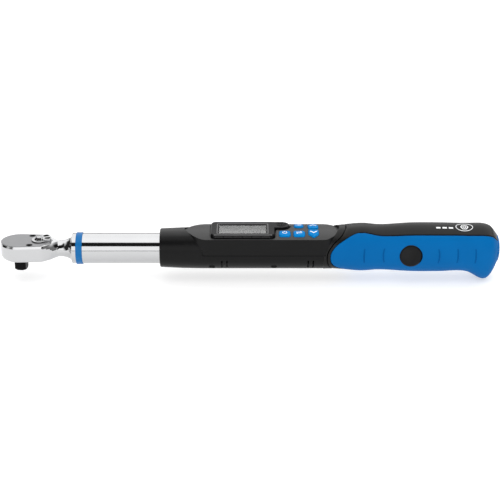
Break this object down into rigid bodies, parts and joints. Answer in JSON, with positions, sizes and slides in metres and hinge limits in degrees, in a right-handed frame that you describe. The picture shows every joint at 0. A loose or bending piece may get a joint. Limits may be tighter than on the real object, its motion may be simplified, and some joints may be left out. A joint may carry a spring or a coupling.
{
  "type": "torque wrench",
  "caption": "Electronic torque wrench: ratchet head with square drive, chrome tube, display housing with blue keys and a rubber grip handle.",
  "frame": {"origin": "on the axis of the square drive, at the underside of the head where a socket seats", "axes": "+X from the head along the wrench to the handle's end, +Z out of the display, away from the socket"},
  "size_m": [0.4155, 0.0396, 0.0482],
  "materials": {
    "chrome": "mirror polished",
    "plate": "satin chrome",
    "steel": "ground",
    "black_oxide": "black oxide, satin",
    "housing": "fine spark-eroded texture",
    "bezel": "semi-gloss",
    "handle": "fine texture",
    "grip": "soft satin",
    "cap": "satin",
    "band": "anodised, satin",
    "keys": "satin silicone",
    "screen": "clear, glossy",
    "lcd": "grey liquid crystal",
    "board": "solder mask",
    "membrane": "matt silicone",
    "gold": "plated",
    "cells": "printed sleeve",
    "gauge": "polyimide foil",
    "lead": "insulation",
    "seal": "smooth"
  },
  "bodies": {
    "wrench_body": {"head_body": "chrome", "cover_plate": "plate", "cover_screws": "black_oxide", "tube": "chrome", "colour_band": "band", "flex_beam": "steel", "beam_pins": "steel", "strain_gauges": "gauge", "gauge_lead": "lead", "lower_housing": "housing", "upper_housing": "housing", "housing_screws": "black_oxide", "bezel": "bezel", "lcd_window": "screen", "lcd_module": "lcd", "circuit_board": "board", "buzzer": "black_oxide", "buzzer_grille": "bezel", "key_membrane": "membrane", "handle_collar": "handle", "handle_body": "handle", "grip": "grip", "load_pin": "steel", "load_plugs": "housing", "battery_carrier": "housing", "battery_cells": "cells", "inner_contacts": "gold"},
    "drive": {"drive_gear": "black_oxide", "detent_spring": "steel"},
    "detent": {"detent_ball": "steel"},
    "lever": {"reversing_lever": "chrome", "pawl_plunger": "steel", "pawl_spring": "steel"},
    "pawl_body": {"pawl": "steel"},
    "key_power": {"key_power": "keys"},
    "key_unit": {"key_unit": "keys"},
    "key_set": {"key_set": "keys"},
    "key_up": {"key_up": "keys"},
    "key_down": {"key_down": "keys"},
    "cap_carrier": {"cap_contact": "gold", "cap_springs": "gold"},
    "cap": {"battery_cap": "cap", "cap_seal": "seal"}
  },
  "joints": [
    {"name": "drive_spin", "type": "hinge", "parent": "wrench_body", "child": "drive", "pos_m": [0, 0, 0], "axis": [0, 0, 1], "continuous": true},
    {"name": "detent_push", "type": "slide", "parent": "drive", "child": "detent", "axis": [-0.1219, -0.9925, 0], "range_m": [0, 0.0006], "stiffness_N_per_m": 1500, "springref_m": -0.0015},
    {"name": "lever_turn", "type": "hinge", "parent": "wrench_body", "child": "lever", "pos_m": [0.016, 0, 0.0065], "axis": [0, 0, 1], "range_deg": [-40, 0]},
    {"name": "pawl_rock", "type": "hinge", "parent": "wrench_body", "child": "pawl_body", "pos_m": [0.016, 0, 0.0065], "axis": [0, 0, 1], "range_deg": [-14, 0]},
    {"name": "key_power_press", "type": "slide", "parent": "wrench_body", "child": "key_power", "axis": [0, 0, -1], "range_m": [0, 0.0008], "stiffness_N_per_m": 400, "springref_m": -0.0015},
    {"name": "key_unit_press", "type": "slide", "parent": "wrench_body", "child": "key_unit", "axis": [0, 0, -1], "range_m": [0, 0.0008], "stiffness_N_per_m": 400, "springref_m": -0.0015},
    {"name": "key_set_press", "type": "slide", "parent": "wrench_body", "child": "key_set", "axis": [0, 0, -1], "range_m": [0, 0.0008], "stiffness_N_per_m": 400, "springref_m": -0.0015},
    {"name": "key_up_press", "type": "slide", "parent": "wrench_body", "child": "key_up", "axis": [0, 0, -1], "range_m": [0, 0.0008], "stiffness_N_per_m": 400, "springref_m": -0.0015},
    {"name": "key_down_press", "type": "slide", "parent": "wrench_body", "child": "key_down", "axis": [0, 0, -1], "range_m": [0, 0.0008], "stiffness_N_per_m": 400, "springref_m": -0.0015},
    {"name": "cap_travel", "type": "slide", "parent": "wrench_body", "child": "cap_carrier", "axis": [1, 0, 0], "range_m": [0, 0.004]},
    {"name": "cap_turn", "type": "hinge", "parent": "cap_carrier", "child": "cap", "pos_m": [0.39, 0, 0.0069], "axis": [1, 0, 0], "range_deg": [-360, 0]}
  ],
  "couplings": [
    {"joint": "pawl_rock", "follows": "lever_turn", "ratio": 0.35},
    {"joint": "cap_turn", "follows": "cap_travel", "rad_per_m": -1570.8}
  ]
}
